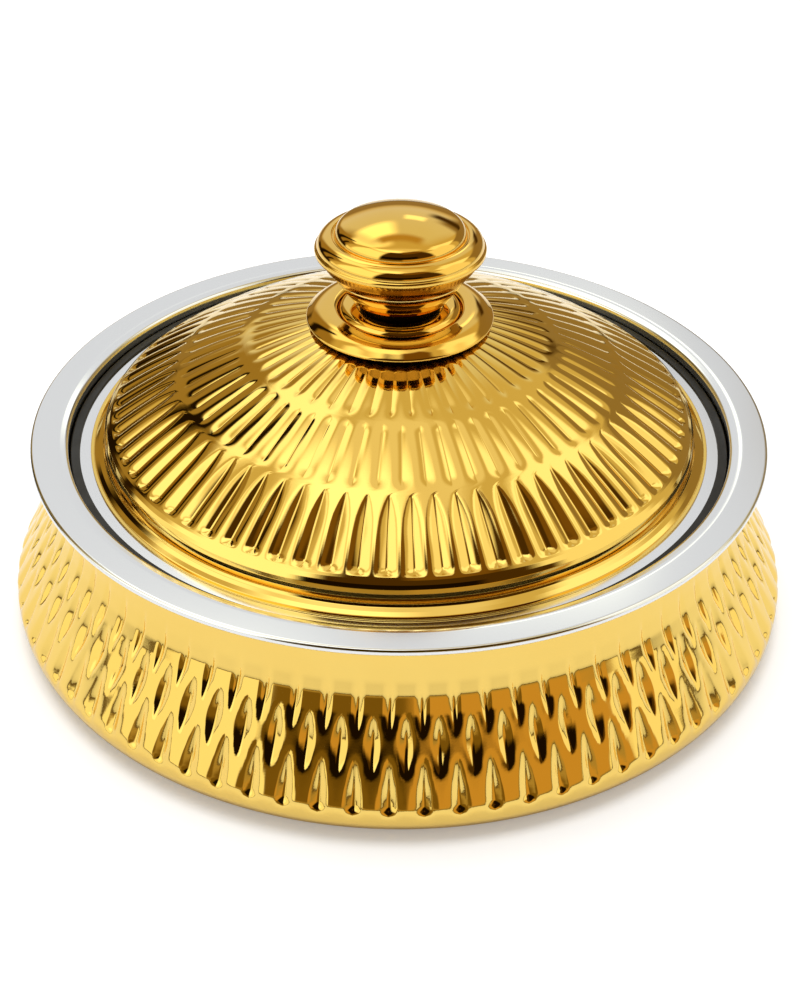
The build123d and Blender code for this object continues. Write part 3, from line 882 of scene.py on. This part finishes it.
def make_camera():
    """Camera in front of the object, looking down on it."""
    lens = bpy.data.cameras.new("camera")
    lens.lens = 57.6
    lens.sensor_width = 36.0
    lens.shift_x = 0.0015
    lens.clip_start, lens.clip_end = 0.01, 10
    camera = bpy.data.objects.new("camera", lens)
    tilt, roll, away = radians(35.2808), radians(0.45), 0.57199
    facing = Matrix.Rotation(pi / 2 - tilt, 4, "X") @ Matrix.Rotation(roll, 4, "Z")
    place = Matrix.Translation((0, -away * cos(tilt), away * sin(tilt) + 0.0299))
    camera.matrix_world = place @ facing
    bpy.context.scene.collection.objects.link(camera)
    bpy.context.scene.camera = camera


# ---------------------------------------------------------------- settings


class CasingSettings(bpy.types.PropertyGroup):
    """Dents of the casing."""

    dents: IntProperty(name="Dents", description="Dents in each row", default=80, min=20, max=120)
    phase: FloatProperty(
        name="Phase", description="Turn of the lowest row from the front, in degrees", default=-0.95
    )
    slope: FloatProperty(
        name="Slope", description="Steepness of the dents' sides", default=0.56, min=0, max=1
    )
    edge: FloatProperty(
        name="Edge", description="Round share of the dents' sides", default=0.45, min=0.05, max=1
    )
    low_width: FloatProperty(name="Low row", description="Half width of a low dent, in mm", default=3.7)
    middle_width: FloatProperty(
        name="Middle row", description="Half width of a middle dent, in mm", default=2.9
    )
    high_width: FloatProperty(
        name="High row", description="Half width of a high dent, in mm", default=1.5
    )
    row_step: FloatProperty(
        name="Row step", description="Height of a row of faces, in mm", default=0.9, min=0.3
    )
    pull: FloatProperty(
        name="Pull", description="How far columns are drawn to the creases", default=0.6, min=0, max=0.9
    )


class DomeSettings(bpy.types.PropertyGroup):
    """Flutes of the dome."""

    top_flutes: IntProperty(name="Top flutes", description="Flutes in the row at the knob", default=48)
    middle_flutes: IntProperty(name="Middle flutes", description="Flutes in the middle row", default=60)
    low_flutes: IntProperty(name="Low flutes", description="Flutes in the lowest row", default=72)
    top_phase: FloatProperty(
        name="Top phase", description="Turn of the top row, in degrees", default=-3.1
    )
    middle_phase: FloatProperty(
        name="Middle phase", description="Turn of the middle row, in degrees", default=0.85
    )
    low_phase: FloatProperty(
        name="Low phase", description="Turn of the low row, in degrees", default=-2.03
    )
    slope: FloatProperty(
        name="Slope", description="Steepness of the upper flutes' sides", default=0.25, min=0, max=1
    )
    low_slope: FloatProperty(
        name="Low slope", description="Steepness of the low flutes' sides", default=0.42, min=0
    )
    cover: FloatProperty(
        name="Cover", description="Share of the pitch that a low flute takes", default=0.88, min=0.3
    )
    fan: IntProperty(
        name="Fan", description="Facet edges in a quarter of a round foot", default=5, min=2, max=12
    )
    row_step: FloatProperty(
        name="Row step", description="Height of a row of faces, in mm", default=0.84, min=0.3
    )
    pull: FloatProperty(
        name="Pull", description="How far columns are drawn to the creases", default=0.5, min=0, max=0.9
    )


class StageSettings(bpy.types.PropertyGroup):
    """Table, light and background."""

    floor_radius: FloatProperty(
        name="Table", description="Radius of the table", default=2.2, unit="LENGTH"
    )
    floor_glow: FloatProperty(
        name="Table glow", description="Light of the table to the camera", default=0.22, min=0
    )
    fill: FloatProperty(name="Fill", description="Strength of the world", default=0.5, min=0)
    key: FloatProperty(
        name="Key", description="Power of the overhead lamp, in watts", default=19.0, min=0
    )


# ---------------------------------------------------------------- operators


class MakeFinishes(bpy.types.Operator):
    """Make the finishes and dress the nodes that stay"""

    bl_idname = "casserole.make_finishes"
    bl_label = "Finishes and inner parts"

    def execute(self, context):
        make_materials()
        dress_hidden_nodes()
        return {"FINISHED"}


class MakeCasing(bpy.types.Operator):
    """Make the dented casing"""

    bl_idname = "casserole.make_casing"
    bl_label = "Casing"

    def execute(self, context):
        make_casing(context.scene.casserole_casing)
        return {"FINISHED"}


class MakeRimBowl(bpy.types.Operator):
    """Make the bowl with its wide rim"""

    bl_idname = "casserole.make_rim_bowl"
    bl_label = "Rim and bowl"

    def execute(self, context):
        make_rim_bowl()
        return {"FINISHED"}


class MakeDome(bpy.types.Operator):
    """Make the fluted dome of the lid"""

    bl_idname = "casserole.make_dome"
    bl_label = "Dome"

    def execute(self, context):
        make_dome(context.scene.casserole_dome)
        return {"FINISHED"}


class MakeLidEdge(bpy.types.Operator):
    """Make the liner with its silver ring, and the gasket"""

    bl_idname = "casserole.make_lid_edge"
    bl_label = "Silver ring and gasket"

    def execute(self, context):
        make_lid_edge()
        return {"FINISHED"}


class MakeKnob(bpy.types.Operator):
    """Make the pieces of the knob"""

    bl_idname = "casserole.make_knob"
    bl_label = "Knob"

    def execute(self, context):
        make_knob()
        return {"FINISHED"}


class MakeStage(bpy.types.Operator):
    """Make the table, the light, the background and the camera"""

    bl_idname = "casserole.make_stage"
    bl_label = "Stage"

    def execute(self, context):
        settings = context.scene.casserole_stage
        context.scene.view_settings.view_transform = "Standard"
        make_world(settings)
        make_floor(settings)
        make_tent()
        soft_lamp("key", (-0.05, 0.15, 1.4), 1.2, settings.key)
        make_camera()
        return {"FINISHED"}


OPERATORS = (MakeFinishes, MakeCasing, MakeRimBowl, MakeDome, MakeLidEdge, MakeKnob, MakeStage)
SETTINGS = {
    "casserole_casing": CasingSettings,
    "casserole_dome": DomeSettings,
    "casserole_stage": StageSettings,
}


class CasserolePanel(bpy.types.Panel):
    """Lists the casserole's settings and operators"""

    bl_idname = "VIEW3D_PT_casserole"
    bl_label = "Casserole"
    bl_space_type = "VIEW_3D"
    bl_region_type = "UI"
    bl_category = "Casserole"

    def draw(self, context):
        for name, group in SETTINGS.items():
            box = self.layout.box()
            box.label(text=group.__doc__)
            for key in group.__annotations__:
                box.prop(getattr(context.scene, name), key)
        for operator in OPERATORS:
            self.layout.operator(operator.bl_idname)


def register():
    for name, group in SETTINGS.items():
        bpy.utils.register_class(group)
        setattr(bpy.types.Scene, name, PointerProperty(type=group))
    for kind in (*OPERATORS, CasserolePanel):
        bpy.utils.register_class(kind)


def unregister():
    for kind in (*OPERATORS, CasserolePanel):
        bpy.utils.unregister_class(kind)
    for name, group in SETTINGS.items():
        delattr(bpy.types.Scene, name)
        bpy.utils.unregister_class(group)


def main():
    """Makes every piece and the stage."""
    register()
    bpy.ops.casserole.make_finishes()
    bpy.ops.casserole.make_casing()
    bpy.ops.casserole.make_rim_bowl()
    bpy.ops.casserole.make_dome()
    bpy.ops.casserole.make_lid_edge()
    bpy.ops.casserole.make_knob()
    bpy.ops.casserole.make_stage()


if __name__ == "__main__":
    main()
